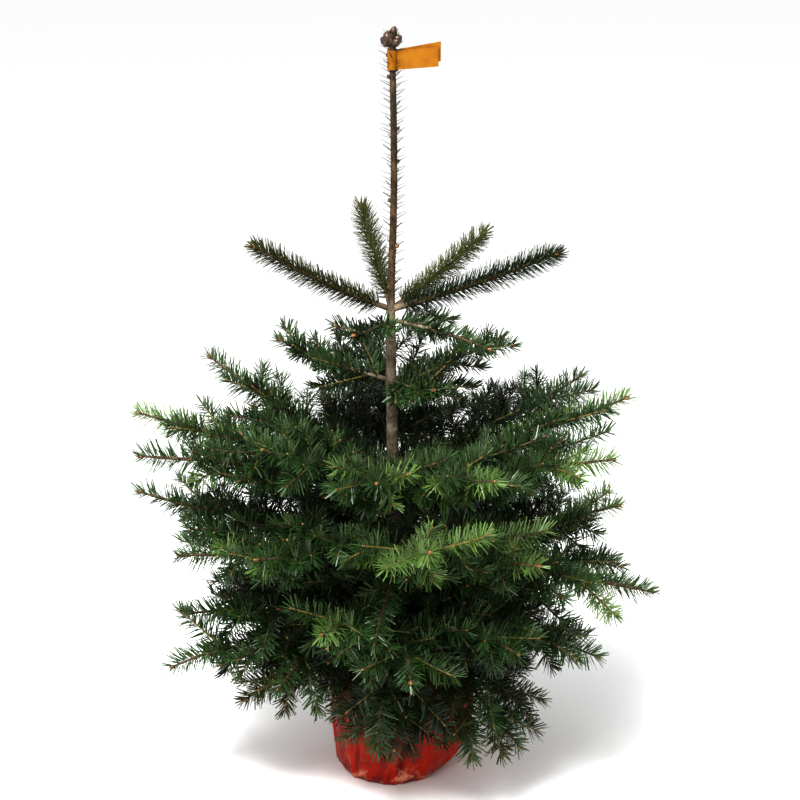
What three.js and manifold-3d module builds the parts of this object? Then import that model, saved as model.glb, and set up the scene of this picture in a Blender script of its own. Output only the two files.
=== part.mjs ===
// A young pot-grown Nordmann fir, sold as a Christmas tree: one whole trunk with its bare leader,
// the bare wood of its upper boughs, the sprays of needles that its whorls carry, a film-wrapped pot
// with its compost, and a folded label band round the leader.
// Millimetres, +Z up. The origin is the middle of the pot's flat underside. +X is the tree's right
// side, -Y its front, and an azimuth is counted from +X towards +Y.

import * as THREE from "three";
import { mergeVertices } from "three/addons/utils/BufferGeometryUtils.js";
import Module from "manifold-3d";

const wasm = await Module();
wasm.setup();

// ---- Driving dimensions -------------------------------------------------------------------

const TREE_HEIGHT = 1196; // floor to the tip of the leader's bud
const SOIL_TOP = 188; // compost surface, where the trunk is cut flat
const GAP = 0.35; // clearance that neighbouring solids keep

const POT = {
  height: 206,
  footRadius: 101,
  heelRadius: 106, // just above the foot's small rounded edge
  heelHeight: 8,
  rimRadius: 118,
  wall: 7,
  floor: 8,
  floorEdge: 16, // height of the chamfer between its floor and its wall inside
  softness: 34, // how far the lower edge draws in on the side where the film hangs loose
  softHeight: 74,
  softAzimuth: -30,
  sides: 20,
};

// The trunk's line, from just under the compost to the tip. It leans slightly to the left.
const TRUNK_LINE = [
  [-4, 0, SOIL_TOP - 15],
  [-9, 1, 330],
  [-14, 1, 500],
  [-17, 0, 760],
  [-12, -1, 960],
  [-15, 0, TREE_HEIGHT - 8],
];
const TRUNK = {
  flare: 10, // extra radius of the root flare at the compost
  flareReach: 26,
  baseRadius: 14,
  leaderHeight: 760, // where the one-year-old leader starts
  oldWoodTip: 7.2, // radius of the older wood just below it
  leaderBase: 5.8,
  leaderTip: 4.5,
  budRadius: 10, // the cluster of buds round the leader's tip
  budHeight: 26,
  budProfile: [0.6, 1, 0.6], // its radius at the foot, the widest place and the top, as shares
  budLevels: [0, 0.55, 0.9], // and how high these lie
  sides: 10,
  steps: 17,
};

// A whorl is the ring of boughs from one year's growth, or of the weaker shoots between two years.
// Each bough is [azimuth, reach, rise, sag, halfWidth, bare]: its direction in degrees, the distance
// from the trunk to its tip, the slope of that line in degrees, how far its middle dips below the
// line (or arches over it, below zero), half the width of its spray, and the length of bare wood
// before the needles start, or 0 where needles clothe it right from the trunk.
const WHORLS = [
  {
    name: "top",
    height: 762,
    halfDepth: 23,
    boughs: [
      [186, 244, 27, 9, 24, 26],
      [110, 204, 46, 6, 22, 22],
      [40, 226, 27, 8, 24, 26],
      [352, 284, 21, 6, 24, 26],
    ],
  },
  {
    name: "crest",
    height: 745,
    halfDepth: 24,
    boughs: [
      [246, 150, 4, 4, 30, 0],
      [328, 190, -8, -6, 30, 0],
      [40, 112, -8, 2, 34, 0],
    ],
  },
  {
    name: "inner",
    height: 648,
    halfDepth: 27,
    boughs: [
      [178, 198, 21, 8, 50, 0],
      [20, 206, 16, 6, 76, 0],
      [300, 142, 8, 4, 48, 0],
      [105, 200, 12, 6, 70, 0],
    ],
  },
  {
    name: "upper",
    height: 508,
    halfDepth: 27,
    boughs: [
      [148, 392, 20, 16, 58, 80],
      [181, 420, 13, 12, 70, 0],
      [194, 412, 7, 6, 64, 0],
      [217, 266, 17, 10, 74, 78],
      [265, 284, 13, 8, 64, 70],
      [299, 322, 12, 10, 66, 74],
      [341, 370, 8, 12, 76, 78],
      [10, 402, 14, 14, 80, 84],
      [35, 406, 13, 14, 94, 0],
      [94, 384, 13, 14, 104, 0],
    ],
  },
  {
    name: "middle",
    height: 380,
    halfDepth: 30,
    boughs: [
      [177, 428, 11, 12, 80, 0],
      [203, 372, 5, 6, 78, 0],
      [229, 330, 11, 6, 66, 0],
      [278, 390, 18, 8, 110, 0],
      [315, 318, 8, 6, 66, 0],
      [345, 428, -6, 0, 128, 0],
      [11, 384, 6, 10, 78, 0],
      [47, 396, 6, 10, 86, 0],
      [88, 392, 6, 10, 96, 0],
      [133, 396, 6, 10, 92, 0],
    ],
  },
  {
    name: "lower",
    height: 290,
    halfDepth: 31,
    boughs: [
      [190, 348, -2, -4, 70, 0],
      [198, 390, -12, -8, 58, 0],
      [247, 300, 8, -2, 74, 0],
      [274, 306, -5, -12, 92, 0],
      [306, 320, 0, -8, 86, 0],
      [341, 350, -11, -10, 92, 0],
      [38, 340, -6, -8, 96, 0],
      [96, 340, -6, -8, 104, 0],
      [150, 344, -5, -8, 92, 0],
    ],
  },
  {
    name: "skirt",
    height: 236,
    halfDepth: 27,
    boughs: [
      [205, 290, -17, -12, 76, 0],
      [268, 232, -38, -24, 102, 0],
      [323, 290, -32, -22, 104, 0],
      [28, 262, -22, -16, 84, 0],
      [92, 256, -22, -16, 86, 0],
      [150, 262, -22, -16, 84, 0],
    ],
  },
];
const SPRAY = {
  sides: 6,
  steps: 5,
  swell: 0.5, // share of the spray's length over which it spreads to full width
  blunt: 70, // length of the taper at its tip
  tipWidth: 28,
  tipDepth: 16,
  slimTip: 0.7, // a slim spray's tip is this share of its half-width
  broadTip: 0.42, // a broad one's tip is at least this share
  entryRadius: 11,
  unevenness: 0.16,
};
const LIMB = { sides: 6, baseRadius: 0.022, taper: 0.76 }; // radius as a share of the bough's reach

const TAG = {
  height: 1144, // middle of the band on the leader
  width: 29,
  reach: 75,
  loopRadius: 8.4,
  holeRadius: 6.4,
  thickness: 2.2,
  climb: 0.18, // the flag rises this much for each millimetre outwards
  azimuth: -12,
};

// ---- Materials ----------------------------------------------------------------------------

function finish(color, roughness, metalness = 0) {
  return new THREE.MeshStandardMaterial({ color, roughness, metalness });
}
const barkFinish = finish(0x6b5544, 0.9);
const leafFinish = finish(0x1f4a22, 0.6);
const filmFinish = finish(0xb0140f, 0.3);
const soilFinish = finish(0x2b2019, 1);
const tagFinish = finish(0xf28c0c, 0.5);

// ---- Solids -------------------------------------------------------------------------------

const radians = THREE.MathUtils.degToRad;

// A closed geometry as a solid that can be cut.
function solidOf(geometry) {
  const bare = geometry.clone();
  bare.deleteAttribute("normal");
  bare.deleteAttribute("uv");
  const merged = mergeVertices(bare, 1e-3);
  return new wasm.Manifold(
    new wasm.Mesh({
      numProp: 3,
      vertProperties: merged.attributes.position.array,
      triVerts: new Uint32Array(merged.index.array),
    }),
  );
}

function geometryOf(solid) {
  const { vertProperties, triVerts } = solid.getMesh();
  return new THREE.BufferGeometry()
    .setAttribute("position", new THREE.BufferAttribute(new Float32Array(vertProperties), 3))
    .setIndex(new THREE.BufferAttribute(new Uint32Array(triVerts), 1));
}

// What is left of a solid once its neighbours are cut away: its largest piece.
function cutRound(solid, neighbours) {
  const box = solid.boundingBox();
  const near = neighbours.filter((other) => {
    const b = other.boundingBox();
    return [0, 1, 2].every((i) => b.min[i] < box.max[i] && b.max[i] > box.min[i]);
  });
  const left = near.reduce((body, other) => body.subtract(other), solid);
  const pieces = left.decompose().sort((a, b) => b.volume() - a.volume());
  return pieces[0];
}

// A cylinder bent along a curve. section(t) gives its half-widths sideways and up and down, t from
// 0 to 1 along the curve. The sideways direction stays level, so a spray lies flat.
function bentCylinder(curve, from, to, sides, steps, section) {
  const geometry = new THREE.CylinderGeometry(1, 1, 1, sides, steps);
  const place = geometry.attributes.position;
  const upwards = new THREE.Vector3(0, 0, 1);
  for (let i = 0; i < place.count; i++) {
    const t = 0.5 - place.getY(i);
    const at = THREE.MathUtils.lerp(from, to, t);
    const along = curve.getTangentAt(at);
    const level = Math.hypot(along.x, along.y) > 0.2;
    const side = level
      ? new THREE.Vector3().crossVectors(upwards, along).normalize()
      : new THREE.Vector3(0, 1, 0);
    const over = new THREE.Vector3().crossVectors(along, side).normalize();
    const x = place.getX(i);
    const z = place.getZ(i);
    const { left, right, depth } = section(t);
    const point = curve
      .getPointAt(at)
      .addScaledVector(side, x > 0 ? x * left : x * right)
      .addScaledVector(over, z * depth);
    place.setXYZ(i, point.x, point.y, point.z);
  }
  return solidFacingOut(geometry);
}

// A closed geometry as a solid, turned inside out where its faces point inwards.
function solidFacingOut(geometry) {
  const solid = solidOf(geometry);
  if (solid.volume() > 0) return solid;
  const index = geometry.index.array;
  for (let i = 0; i < index.length; i += 3) [index[i + 1], index[i + 2]] = [index[i + 2], index[i + 1]];
  return solidOf(geometry);
}

// The same numbers in 0..1 each time, for the sprays' uneven outlines.
function seededRandom(seed) {
  let state = seed >>> 0;
  return () => {
    state = (Math.imul(state, 1664525) + 1013904223) >>> 0;
    return state / 4294967296;
  };
}

// ---- Trunk --------------------------------------------------------------------------------

const trunkLine = new THREE.CatmullRomCurve3(TRUNK_LINE.map((p) => new THREE.Vector3(...p)));

function trunkRadius(z) {
  const { flare, flareReach, baseRadius, leaderHeight, oldWoodTip, leaderBase, leaderTip } = TRUNK;
  if (z > leaderHeight) {
    const share = (z - leaderHeight) / (TREE_HEIGHT - leaderHeight);
    return THREE.MathUtils.lerp(leaderBase, leaderTip, share);
  }
  const share = Math.max(0, (z - SOIL_TOP) / (leaderHeight - SOIL_TOP));
  const taper = THREE.MathUtils.lerp(baseRadius, oldWoodTip, Math.pow(share, 0.8));
  return taper + flare * Math.exp(-Math.max(0, z - SOIL_TOP) / flareReach);
}

// The level cut at the trunk's foot.
function groundBlock() {
  const { baseRadius, flare } = TRUNK;
  const size = 4 * (baseRadius + flare);
  return solidOf(new THREE.BoxGeometry(size, size, size).translate(0, 0, SOIL_TOP + GAP - size / 2));
}

function trunkSolid(clearance) {
  const stem = bentCylinder(trunkLine, 0, 1, TRUNK.sides, TRUNK.steps, (t) => {
    const r = trunkRadius(trunkLine.getPointAt(t).z) + clearance;
    return { left: r, right: r, depth: r };
  });
  return stem.add(budCluster(clearance));
}

// The buds round the leader's tip, as one knob.
function budCluster(clearance) {
  const { budRadius, budHeight, budProfile, budLevels, sides } = TRUNK;
  const side = budProfile.map((share, i) => [budRadius * share + clearance, budHeight * budLevels[i]]);
  const profile = [[0, -clearance], ...side, [0, budHeight + clearance]];
  const tip = trunkLine.getPointAt(1);
  const knob = turned(profile, sides).translate(tip.x, tip.y, TREE_HEIGHT - budHeight);
  return solidFacingOut(knob);
}

function trunkPoint(z) {
  let low = 0;
  let high = 1;
  for (let i = 0; i < 24; i++) {
    const middle = (low + high) / 2;
    if (trunkLine.getPointAt(middle).z < z) low = middle;
    else high = middle;
  }
  return trunkLine.getPointAt(low);
}

// ---- Boughs and sprays --------------------------------------------------------------------

function boughCurve(height, [azimuth, reach, rise, sag]) {
  const start = trunkPoint(height);
  const a = radians(azimuth);
  const e = radians(rise);
  const outwards = new THREE.Vector3(Math.cos(a) * Math.cos(e), Math.sin(a) * Math.cos(e), Math.sin(e));
  const end = start.clone().addScaledVector(outwards, reach);
  const control = start.clone().addScaledVector(outwards, reach * 0.5);
  control.z -= sag * 2;
  return new THREE.QuadraticBezierCurve3(start, control, end);
}

// The bare wood of a bough, from inside the trunk to where its needles start.
function boughSolid(curve, reach, bare, clearance) {
  const { sides, baseRadius, taper } = LIMB;
  return bentCylinder(curve, 0, bare / reach, sides, 2, (t) => {
    const r = reach * baseRadius * THREE.MathUtils.lerp(1, taper, t) + clearance;
    return { left: r, right: r, depth: r };
  });
}

// A spray spreads from its bough to full width, then tapers over its last blunt stretch. Its two
// edges are uneven where side shoots end.
function spraySolid(curve, whorl, [, reach, , , halfWidth, bare], shape, clearance) {
  const { sides, steps, swell, tipWidth, tipDepth, slimTip, broadTip, entryRadius, unevenness } = SPRAY;
  const start = (bare + GAP) / reach;
  const blunt = Math.min(SPRAY.blunt / reach, 0.3);
  const tip = Math.max(Math.min(tipWidth, halfWidth * slimTip), halfWidth * broadTip);
  const mix = THREE.MathUtils.lerp;
  return bentCylinder(curve, start, 1, sides, steps, (t) => {
    const along = mix(start, 1, t);
    const spread = Math.sin((Math.min(1, (along - start) / swell) * Math.PI) / 2);
    const close = Math.max(0, (along - 1 + blunt) / blunt);
    const edge = (turn) => {
      const uneven = 1 + unevenness * Math.sin(2 * Math.PI * (shape.waves * t + turn));
      return mix(mix(entryRadius, halfWidth * uneven, spread), tip, close * close) + clearance;
    };
    const depth = mix(mix(entryRadius, whorl.halfDepth * shape.depth, spread), tipDepth, close);
    return { left: edge(shape.leftTurn), right: edge(shape.rightTurn), depth: depth + clearance };
  });
}

function named(name, solid, material) {
  const mesh = new THREE.Mesh(geometryOf(solid), material);
  mesh.name = name;
  return mesh;
}

// The bare boughs come first, then the sprays from the top down. Each solid is cut round all that
// came before it.
function buildCrown(tree) {
  const taken = [trunkSolid(GAP), potRoom()];
  const place = (name, solidWith, material) => {
    tree.add(named(name, cutRound(solidWith(0), taken), material));
    taken.push(solidWith(GAP));
  };
  const limbs = WHORLS.flatMap((whorl) =>
    whorl.boughs.map((bough, i) => {
      return { whorl, bough, number: i + 1, curve: boughCurve(whorl.height, bough) };
    }),
  );
  for (const { whorl, bough, number, curve } of limbs) {
    const [, reach, , , , bare] = bough;
    if (bare === 0) continue;
    place(`${whorl.name}_bough_${number}`, (gap) => boughSolid(curve, reach, bare, gap), barkFinish);
  }
  const random = seededRandom(71);
  for (const { whorl, bough, number, curve } of limbs) {
    const shape = {
      waves: 1.2 + random() * 0.8,
      leftTurn: random(),
      rightTurn: random(),
      depth: 0.92 + random() * 0.16,
    };
    const spray = (gap) => spraySolid(curve, whorl, bough, shape, gap);
    place(`${whorl.name}_spray_${number}`, spray, leafFinish);
  }
}

// ---- Pot, compost and label ---------------------------------------------------------------

// The lower edge draws in on the side where the film hangs loose round the pot's foot.
function drawnIn(geometry) {
  const place = geometry.attributes.position;
  for (let i = 0; i < place.count; i++) {
    const [x, y, z] = [place.getX(i), place.getY(i), place.getZ(i)];
    const low = Math.max(0, 1 - z / POT.softHeight);
    const facing = Math.max(0, Math.cos(Math.atan2(y, x) - radians(POT.softAzimuth)));
    const draw = (POT.softness * facing * facing * low * low) / POT.heelRadius;
    place.setXY(i, x * (1 - draw), y * (1 - draw));
  }
  return solidFacingOut(geometry);
}

// The inside of the pot as [radius, height] pairs, from the middle of its floor to the compost's
// surface and then the rim.
function potInside(clearance) {
  const { height, footRadius, rimRadius, wall, floor, floorEdge } = POT;
  const low = [footRadius - clearance, floor + floorEdge + clearance];
  const rim = [rimRadius - wall - clearance, height];
  const share = (SOIL_TOP - low[1]) / (rim[1] - low[1]);
  return [
    [0, floor + clearance],
    [footRadius - wall - clearance, floor + clearance],
    low,
    [THREE.MathUtils.lerp(low[0], rim[0], share), SOIL_TOP],
    rim,
  ];
}

// [radius, height] pairs turned round the Z axis.
function turned(pairs, sides) {
  const profile = pairs.map(([r, z]) => new THREE.Vector2(r, z));
  return new THREE.LatheGeometry(profile, sides).rotateX(Math.PI / 2);
}

// The outside of the pot as [radius, height] pairs, from its foot up.
function potOutside(clearance) {
  const { height, footRadius, heelRadius, heelHeight, rimRadius, softHeight } = POT;
  const wallAt = (z) =>
    THREE.MathUtils.lerp(heelRadius, rimRadius, (z - heelHeight) / (height - heelHeight));
  const steps = [heelHeight, softHeight * 0.25, softHeight * 0.5, softHeight, height];
  return [[footRadius + clearance, 0], ...steps.map((z) => [wallAt(z) + clearance, z])];
}

// The film-wrapped pot as a cup.
function potSolid() {
  return drawnIn(turned([[0, 0], ...potOutside(0), ...potInside(0).reverse()], POT.sides));
}

// The room that the pot and its compost fill, which the lowest sprays keep out of.
function potRoom() {
  return drawnIn(turned([[0, 0], ...potOutside(2 * GAP), [0, POT.height + 2 * GAP]], POT.sides));
}

// The compost runs down the pot's inside in the same order as the pot, so their facets agree.
function soilSolid() {
  return drawnIn(turned([...potInside(GAP).slice(0, -1), [0, SOIL_TOP]].reverse(), POT.sides));
}

// One band folded round the leader, its two ends lying together as a flag.
function tagSolid() {
  const { loopRadius, holeRadius, thickness, reach, width, climb, azimuth, height } = TAG;
  const join = Math.asin(thickness / 2 / loopRadius);
  const outline = new THREE.Shape();
  outline.moveTo(reach, -thickness / 2);
  outline.lineTo(reach, thickness / 2);
  outline.absarc(0, 0, loopRadius, join, 2 * Math.PI - join, false);
  outline.lineTo(reach, -thickness / 2);
  outline.holes.push(new THREE.Path().absarc(0, 0, holeRadius, 0, 2 * Math.PI, true));
  const sweep = { depth: width, bevelEnabled: false, curveSegments: 8 };
  const geometry = new THREE.ExtrudeGeometry(outline, sweep);
  const place = geometry.attributes.position;
  for (let i = 0; i < place.count; i++) {
    const x = place.getX(i);
    place.setZ(i, place.getZ(i) - width / 2 + Math.max(0, x - loopRadius) * climb);
  }
  const on = trunkPoint(height);
  geometry.rotateZ(radians(azimuth)).translate(on.x, on.y, height);
  return solidFacingOut(geometry);
}

// ---- The tree -----------------------------------------------------------------------------

const tree = new THREE.Group();
tree.add(named("pot", potSolid(), filmFinish));
tree.add(named("soil", soilSolid(), soilFinish));
tree.add(named("trunk", cutRound(trunkSolid(0), [groundBlock()]), barkFinish));
buildCrown(tree);
tree.add(named("label_band", tagSolid(), tagFinish));

export default tree;
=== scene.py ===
# %% [markdown]
# # A pot-grown fir, grown from its frame
#
# The frame holds the tree as a designer's model: a plain trunk, short boughs, one closed solid for
# each spray of needles, a pot, its compost and a label band. This lesson replaces each of them with
# what the real plant shows: barked wood, yearly shoots, combed needles, buds and creased film.
# Everything is in metres, in the frame's own coordinates: +Z up and -Y the front.

import math
import random

import bpy
import numpy as np
from mathutils import Matrix, Vector, noise
from mathutils.bvhtree import BVHTree


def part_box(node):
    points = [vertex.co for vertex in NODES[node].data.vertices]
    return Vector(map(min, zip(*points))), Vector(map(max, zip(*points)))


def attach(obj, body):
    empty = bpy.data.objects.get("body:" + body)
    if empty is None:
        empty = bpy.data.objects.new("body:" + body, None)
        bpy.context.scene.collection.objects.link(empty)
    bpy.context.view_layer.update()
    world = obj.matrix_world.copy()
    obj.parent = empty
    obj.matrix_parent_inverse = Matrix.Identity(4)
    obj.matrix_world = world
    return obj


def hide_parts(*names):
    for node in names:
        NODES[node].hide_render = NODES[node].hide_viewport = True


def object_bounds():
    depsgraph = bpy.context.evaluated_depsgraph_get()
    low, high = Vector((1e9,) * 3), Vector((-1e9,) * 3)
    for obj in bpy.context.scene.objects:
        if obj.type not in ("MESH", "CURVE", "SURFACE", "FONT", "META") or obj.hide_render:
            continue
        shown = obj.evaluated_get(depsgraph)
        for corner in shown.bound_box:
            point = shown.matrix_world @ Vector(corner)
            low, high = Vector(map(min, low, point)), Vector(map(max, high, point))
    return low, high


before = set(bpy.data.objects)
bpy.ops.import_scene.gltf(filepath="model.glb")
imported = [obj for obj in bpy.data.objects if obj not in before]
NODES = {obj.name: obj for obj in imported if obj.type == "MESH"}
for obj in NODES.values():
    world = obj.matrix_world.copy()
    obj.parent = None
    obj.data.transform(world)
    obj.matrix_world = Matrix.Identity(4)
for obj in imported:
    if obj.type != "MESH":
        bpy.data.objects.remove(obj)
CAD_BOX = [list(corner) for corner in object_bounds()]
UP = Vector((0, 0, 1))
MM = 0.001
print("frame:", len(NODES), "nodes, box", CAD_BOX)

# %% [markdown]
# ## One small language for all node trees
#
# Shader and geometry trees are both sockets joined by links. A `Wire` stands for one output socket
# and knows arithmetic, so `1 - mask * 0.5` writes two Math nodes. A `Graph` adds any other node from
# its type, its settings and what its sockets get. Written this way, a material reads as a formula.


# %% Wires and graphs
class Wire:
    def __init__(self, graph, socket):
        self.graph, self.socket = graph, socket

    def math(self, operation, *others):
        return self.graph.math(operation, self, *others)

    def __add__(self, other):
        return self.math("ADD", other)

    def __sub__(self, other):
        return self.math("SUBTRACT", other)

    def __mul__(self, other):
        return self.math("MULTIPLY", other)

    def __rsub__(self, other):
        return self.graph.math("SUBTRACT", other, self)

    __radd__ = __add__

    def between(self, low, high):
        """0 below low, 1 above high, and a smooth step from one to the other."""
        settings = {"interpolation_type": "SMOOTHSTEP"}
        return self.graph.node("ShaderNodeMapRange", settings, {0: self, 1: low, 2: high})[0]


class Outputs:
    def __init__(self, graph, node):
        self.graph, self.made = graph, node

    def __getitem__(self, key):
        return Wire(self.graph, self.made.outputs[key])


class Graph:
    def __init__(self, tree):
        self.tree = tree

    def node(self, kind, settings=None, sockets=None):
        made = self.tree.nodes.new(kind)
        for name, value in (settings or {}).items():
            setattr(made, name, value)
        for key, value in (sockets or {}).items():
            if isinstance(value, Wire):
                self.tree.links.new(value.socket, made.inputs[key])
            else:
                made.inputs[key].default_value = value
        return Outputs(self, made)

    def math(self, operation, *values):
        return self.node("ShaderNodeMath", {"operation": operation}, dict(enumerate(values)))[0]

    def vector(self, operation, *values, **named):
        sockets = {**dict(enumerate(values)), **named}
        return self.node("ShaderNodeVectorMath", {"operation": operation}, sockets)["Vector"]

    def mix(self, factor, a, b):
        return self.node("ShaderNodeMix", {"data_type": "RGBA"}, {0: factor, 6: a, 7: b})[2]

    def noise(self, place, scale, detail=3, roughness=0.55, distortion=0.0):
        sockets = {"Vector": place, "Scale": scale, "Detail": detail}
        sockets.update(Roughness=roughness, Distortion=distortion)
        return self.node("ShaderNodeTexNoise", None, sockets)["Fac"]

    def height_of(self, place):
        return self.node("ShaderNodeSeparateXYZ", None, {0: place})["Z"]


print("wires and graphs are ready")

# %% [markdown]
# ## A finish is a Principled shader with constants, and links where the surface varies
#
# Numbers that hold all over a surface stay on the shader's own sockets. Only what changes from place
# to place is linked: colour, roughness and the bump.


# %% Making a finish
def colour(red, green, blue):
    """A colour as a painter gives it, 0 to 255 on a screen, in the linear RGBA of a shader."""
    channels = [c / 255 for c in (red, green, blue)]
    linear = (c / 12.92 if c <= 0.04045 else ((c + 0.055) / 1.055) ** 2.4 for c in channels)
    return (*linear, 1.0)


def finish(name, constants, pattern=lambda graph, place: {}):
    """pattern(graph, place) returns the linked sockets; 'bump' among them is (height, distance)."""
    material = bpy.data.materials.new(name)
    material.use_nodes = True
    material.node_tree.nodes.clear()
    graph = Graph(material.node_tree)
    linked = pattern(graph, graph.node("ShaderNodeTexCoord")["Object"])
    if "bump" in linked:
        height, distance = linked.pop("bump")
        sockets = {"Height": height, "Distance": distance, "Strength": 1.0}
        linked["Normal"] = graph.node("ShaderNodeBump", None, sockets)["Normal"]
    shader = graph.node("ShaderNodeBsdfPrincipled", None, {**constants, **linked})
    graph.node("ShaderNodeOutputMaterial", None, {"Surface": shader["BSDF"]})
    return material


print("a finish takes constants and a pattern")

# %% [markdown]
# ## The finishes of the wood
#
# Young fir bark is smooth and grey, with darker pits, pale scars and small resin blisters. The
# leader, last year's growth, is still olive brown. Shoots are tan where they are new and turn grey
# brown with age. Noise at three scales gives the blotches, the grain and the pits.


# %% Bark and shoot finishes
def bark_pattern(graph, place):
    stretched = graph.node("ShaderNodeMapping", None, {"Vector": place, "Scale": (1, 1, 0.35)})[0]
    blotch = graph.noise(place, 55, 4)
    grain = graph.noise(stretched, 420, 5, 0.7)
    pits = graph.noise(place, 900, 2)
    young = graph.height_of(place).between(0.75, 0.8)
    old_wood = graph.mix(blotch.between(0.38, 0.66), colour(108, 96, 80), colour(150, 138, 120))
    new_wood = graph.mix(blotch.between(0.4, 0.6), colour(60, 48, 32), colour(94, 76, 52))
    wood = graph.mix(young, old_wood, new_wood)
    dark = graph.mix(grain.between(0.3, 0.5), colour(62, 50, 42), wood)
    bump = (grain * 0.7 + pits * 0.3, 1.2 * MM)
    return {"Base Color": dark, "Roughness": 0.66 + grain * 0.3, "bump": bump}


def shoot_pattern(dark, pale):
    def pattern(graph, place):
        patches = graph.noise(place, 180, 4)
        scars = graph.noise(place, 1500, 2)
        skin = graph.mix(patches.between(0.35, 0.65), dark, pale)
        return {"Base Color": skin, "Roughness": 0.55 + scars * 0.3, "bump": (scars, 0.4 * MM)}

    return pattern


BARK = finish("fir bark", {"Specular IOR Level": 0.35}, bark_pattern)
OLD_SHOOT = finish(
    "older shoot", {"Specular IOR Level": 0.3}, shoot_pattern(colour(70, 56, 42), colour(112, 94, 70))
)
NEW_SHOOT = finish(
    "new shoot", {"Specular IOR Level": 0.35}, shoot_pattern(colour(100, 88, 48), colour(140, 126, 78))
)
print("wood finishes:", BARK.name, OLD_SHOOT.name, NEW_SHOOT.name)

# %% [markdown]
# ## The finishes of the needles
#
# A needle is glossy green above and has two pale bands below. Colour belongs to the shoot that the
# needle grows on, so each tint is one plain colour, dealt out shoot by shoot.

# %% Needle finishes
TINTS = {
    "deep": (colour(30, 48, 20), colour(52, 66, 40)),
    "mid": (colour(50, 76, 36), colour(84, 102, 70)),
    # the light green of young needles, which shoot_tint also gives to shoots towards the front and edge
    # as painted light
    "fresh_and_lit": (colour(96, 121, 65), colour(124, 144, 98)),
    "olive": (colour(54, 60, 25), colour(86, 90, 54)),
    "grey": (colour(48, 48, 34), colour(80, 82, 66)),
}
NEEDLE_SHINE = {"Roughness": 0.34, "Specular IOR Level": 0.5}
UNDER_SHINE = {"Roughness": 0.6, "Specular IOR Level": 0.2}
NEEDLE_FINISHES = [
    (
        finish(f"needle {name}", {"Base Color": top, **NEEDLE_SHINE}),
        finish(f"needle {name} underside", {"Base Color": under, **UNDER_SHINE}),
    )
    for name, (top, under) in TINTS.items()
]
DEEP, MID, FRESH_AND_LIT, OLIVE, GREY = range(len(TINTS))
print(len(NEEDLE_FINISHES), "tints of needle, each with its underside")

# %% [markdown]
# ## The finishes of buds, film, compost and label
#
# Buds are resinous, brown at the foot and honey-coloured at the tip. The pot's film is a glossy red
# plastic that gathers dust where it meets the ground. Compost is dark crumbs. The label is a smooth
# plastic band.


# %% Buds, film, compost and label
def bud_pattern(graph, place):
    height = graph.height_of(place)
    scales = graph.noise(place, 700, 2)
    patches = scales.between(0.35, 0.65)
    side = graph.mix(patches, colour(92, 58, 32), colour(164, 126, 78))
    leader = graph.mix(patches, colour(34, 22, 16), colour(84, 58, 40))
    return {"Base Color": graph.mix(height.between(0.9, 0.95), side, leader), "bump": (scales, 0.5 * MM)}


def film_pattern(graph, place):
    height = graph.height_of(place)
    creased = graph.node("ShaderNodeMapping", None, {"Vector": place, "Scale": (1, 1, 0.45)})[0]
    broad = graph.noise(creased, 16, 2, 0.5, 0.8)
    fine = graph.noise(place, 70, 3, 0.55, 1.6)
    # painted highlight and shade: the stored fold makes ridges a lighter red and grooves a darker red, as
    # light falls on them; two noises add random tone
    fold = graph.node("ShaderNodeAttribute", {"attribute_name": "fold"})["Fac"]
    ridge = (fold + broad * 0.5 + fine * 0.3).between(0.45, 1.1)
    red = graph.mix(ridge, colour(90, 8, 2), colour(154, 34, 12))
    low = 1 - height.between(0.014, 0.05)
    patches = graph.noise(place, 34, 4, 0.6).between(0.5, 0.64)
    dust = low * patches * graph.noise(place, 120, 3).between(0.3, 0.6)
    skin = graph.mix(dust * 0.85, red, colour(200, 140, 112))
    bump = (broad * 0.6 + fine * 0.4, 2.4 * MM)
    return {"Base Color": skin, "Roughness": 0.26 + fine * 0.12 + dust * 0.4, "bump": bump}


def compost_pattern(graph, place):
    crumbs = graph.noise(place, 160, 6, 0.7)
    earth = graph.mix(crumbs.between(0.35, 0.65), colour(26, 18, 13), colour(74, 54, 40))
    return {"Base Color": earth, "Roughness": 0.8 + crumbs * 0.2, "bump": (crumbs, 3 * MM)}


def label_pattern(graph, place):
    sheen = graph.noise(place, 60, 3)
    fibre = graph.noise(place, 900, 2)
    orange = graph.mix(sheen.between(0.3, 0.7), colour(128, 83, 2), colour(140, 95, 6))
    return {"Base Color": orange, "Roughness": 0.4 + fibre * 0.2, "bump": (fibre, 0.1 * MM)}


BUD = finish("resinous bud", {"Roughness": 0.42, "Coat Weight": 0.3}, bud_pattern)
FILM = finish("red wrapping film", {"Specular IOR Level": 0.2}, film_pattern)
COMPOST = finish("crumbly compost", {"Specular IOR Level": 0.2}, compost_pattern)
LABEL = finish("orange label", {"Specular IOR Level": 0.25}, label_pattern)
print("other finishes:", BUD.name, FILM.name, COMPOST.name, LABEL.name)

# %% [markdown]
# ## Meshes from listed points: a grid that closes on itself
#
# Wood, film and compost are all rings of points joined into skin. One helper takes the rings and
# closes both ends, and one makes a tube of rings along a path. The tube's rings turn with the path
# as little as they can, so the bark doesn't twist. Numbers that a shader or a geometry tree reads
# from place to place are stored in the mesh under a name.

# %% Pieces
TURN = 2 * math.pi


def show(name, data):
    """An object with this data, in the scene."""
    made = bpy.data.objects.new(name, data)
    bpy.context.scene.collection.objects.link(made)
    return made


def piece(name, points, faces, material, smooth=True):
    mesh = bpy.data.meshes.new(name)
    mesh.from_pydata([tuple(p) for p in points], [], faces)
    mesh.materials.append(material)
    mesh.polygons.foreach_set("use_smooth", [smooth] * len(mesh.polygons))
    mesh.update()
    return show(name, mesh)


def store(mesh, name, values, kind="FLOAT", domain="POINT"):
    key = "vector" if kind == "FLOAT_VECTOR" else "value"
    mesh.attributes.new(name, kind, domain).data.foreach_set(key, values)


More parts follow.
